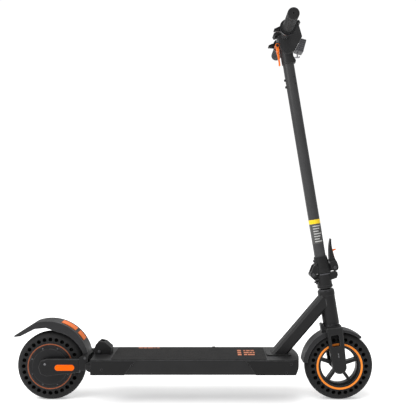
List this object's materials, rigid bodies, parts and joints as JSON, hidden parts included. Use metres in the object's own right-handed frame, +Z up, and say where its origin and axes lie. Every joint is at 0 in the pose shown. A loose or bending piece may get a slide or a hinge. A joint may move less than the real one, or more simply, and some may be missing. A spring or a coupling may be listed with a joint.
{
  "type": "electric kick scooter",
  "caption": "Folding electric kick scooter: flat deck, honeycomb solid tyres, rear hub motor on a sprung swing arm, foot brake fender, spring fork and folding stem with thumb controls.",
  "frame": {"origin": "on the ground under the centre of the bounding box", "axes": "+X is forward, toward the front wheel; +Y is to the rider's left, along the handlebar; +Z is up"},
  "size_m": [1.06, 0.436, 1.1199],
  "materials": {
    "black_alloy": "satin black powder coat on aluminium",
    "black_steel": "satin black paint on steel",
    "bare_alloy": "fine turned aluminium",
    "motor_alloy": "dark cast aluminium",
    "rim_alloy": "black painted cast aluminium",
    "bright_steel": "zinc plated steel",
    "steel_screws": "dark zinc plated steel",
    "motor_iron": "laminated iron with lacquered windings",
    "black_plastic": "fine textured black plastic",
    "grey_plastic": "dark grey moulded plastic",
    "gloss_black": "gloss black plastic",
    "orange_plastic": "orange plastic",
    "orange_reflector": "prismatic orange reflector",
    "battery_wrap": "heat shrunk wrap over cells",
    "grip_mat": "gritty black mat",
    "black_rubber": "matt black rubber",
    "tyre_rubber": "matt black solid rubber"
  },
  "bodies": {
    "chassis": {"deck_shell": "black_alloy", "deck_mat": "grip_mat", "belly_cover": "black_alloy", "deck_screws": "steel_screws", "front_cover": "black_plastic", "rear_side_covers": "black_plastic", "battery_pack": "battery_wrap", "controller": "bare_alloy", "charge_port": "black_plastic", "latch_catch": "grey_plastic", "stand_bracket": "black_steel", "down_tube": "black_alloy", "head_tube": "black_alloy", "headset_bearings": "bright_steel", "pivot_bracket": "black_steel", "rear_buffer": "black_rubber"},
    "swing_arm": {"swing_arm": "black_steel", "arm_covers": "black_plastic", "arm_shoulders": "grey_plastic", "side_reflectors": "orange_reflector", "rear_axle": "bright_steel", "motor_stator": "motor_iron", "fender_pin": "bright_steel"},
    "rear_wheel": {"motor_shell": "black_alloy", "motor_covers": "motor_alloy", "rear_bearings": "bright_steel", "rear_tyre": "tyre_rubber"},
    "foot_brake": {"rear_fender": "black_plastic", "fender_strips": "orange_plastic", "brake_pad": "black_rubber"},
    "kickstand": {"kickstand": "black_alloy"},
    "charge_cap": {"charge_cap": "black_rubber"},
    "steering": {"fork_crown": "black_alloy", "fork_legs": "black_alloy", "front_fender": "black_plastic", "lower_collar": "black_alloy", "hinge_hardware": "bright_steel"},
    "carriage": {"axle_carriers": "bare_alloy", "fork_springs": "bright_steel", "front_axle": "bright_steel"},
    "front_wheel": {"front_rim": "rim_alloy", "front_bearings": "bright_steel", "front_tyre": "tyre_rubber"},
    "stem": {"upper_collar": "black_alloy", "stem_hardware": "bright_steel", "stem_tube": "black_alloy", "head_housing": "black_plastic", "display": "gloss_black", "headlight": "grey_plastic", "bag_hook": "bright_steel", "handlebar": "black_alloy", "grips": "black_rubber", "control_pods": "black_plastic"},
    "fold_lever": {"fold_lever": "black_alloy"},
    "safety_catch": {"safety_catch": "orange_plastic"},
    "fold_hook": {"fold_hook": "orange_plastic"},
    "throttle_paddle": {"throttle_paddle": "black_plastic"},
    "brake_paddle": {"brake_paddle": "black_plastic"},
    "mode_button": {"mode_button": "orange_plastic"}
  },
  "joints": [
    {"name": "rear_suspension", "type": "hinge", "parent": "chassis", "child": "swing_arm", "pos_m": [-0.301, 0, 0.108], "axis": [0, 1, 0], "range_deg": [0, 5], "stiffness_Nm_per_rad": 300, "springref_deg": -3.44},
    {"name": "rear_wheel_spin", "type": "hinge", "parent": "swing_arm", "child": "rear_wheel", "pos_m": [-0.42, 0, 0.1], "axis": [0, 1, 0], "continuous": true},
    {"name": "foot_brake", "type": "hinge", "parent": "swing_arm", "child": "foot_brake", "pos_m": [-0.313, 0, 0.131], "axis": [0, -1, 0], "range_deg": [0, 2], "stiffness_Nm_per_rad": 60, "springref_deg": -1.72},
    {"name": "kickstand", "type": "hinge", "parent": "chassis", "child": "kickstand", "pos_m": [-0.01, 0.065, 0.079], "axis": [0, -0.9659, -0.2588], "range_deg": [0, 100]},
    {"name": "charge_cap", "type": "hinge", "parent": "chassis", "child": "charge_cap", "pos_m": [0.06, 0.0843, 0.125], "axis": [1, 0, 0], "range_deg": [0, 110]},
    {"name": "steering", "type": "hinge", "parent": "chassis", "child": "steering", "pos_m": [0.43, 0, 0.1], "axis": [-0.1633, 0, 0.9866], "range_deg": [-60, 60]},
    {"name": "front_suspension", "type": "slide", "parent": "steering", "child": "carriage", "axis": [-0.1633, 0, 0.9866], "range_m": [0, 0.0045], "stiffness_N_per_m": 30000, "springref_m": -0.003},
    {"name": "front_wheel_spin", "type": "hinge", "parent": "carriage", "child": "front_wheel", "pos_m": [0.43, 0, 0.1], "axis": [0, 1, 0], "continuous": true},
    {"name": "stem_fold", "type": "hinge", "parent": "steering", "child": "stem", "pos_m": [0.35319, 0, 0.36805], "axis": [0, -1, 0], "range_deg": [0, 93.3]},
    {"name": "fold_lever", "type": "hinge", "parent": "stem", "child": "fold_lever", "pos_m": [0.41848, 0, 0.39001], "axis": [0, 1, 0], "range_deg": [0, 95]},
    {"name": "safety_catch", "type": "hinge", "parent": "fold_lever", "child": "safety_catch", "pos_m": [0.41825, 0, 0.41927], "axis": [0, 1, 0], "range_deg": [0, 8], "stiffness_Nm_per_rad": 0.5, "springref_deg": -5.73},
    {"name": "fold_hook", "type": "hinge", "parent": "stem", "child": "fold_hook", "pos_m": [0.24865, 0, 1.04669], "axis": [0, 1, 0], "range_deg": [0, 70]},
    {"name": "throttle_paddle", "type": "hinge", "parent": "stem", "child": "throttle_paddle", "pos_m": [0.26875, -0.087, 1.07404], "axis": [0, -1, 0], "range_deg": [0, 25], "stiffness_Nm_per_rad": 0.3, "springref_deg": -8.59},
    {"name": "brake_paddle", "type": "hinge", "parent": "stem", "child": "brake_paddle", "pos_m": [0.26875, 0.087, 1.07404], "axis": [0, -1, 0], "range_deg": [0, 25], "stiffness_Nm_per_rad": 0.3, "springref_deg": -8.59},
    {"name": "mode_button", "type": "slide", "parent": "stem", "child": "mode_button", "axis": [0.4818, 0, -0.8763], "range_m": [0, 0.0012], "stiffness_N_per_m": 400, "springref_m": -0.001}
  ]
}
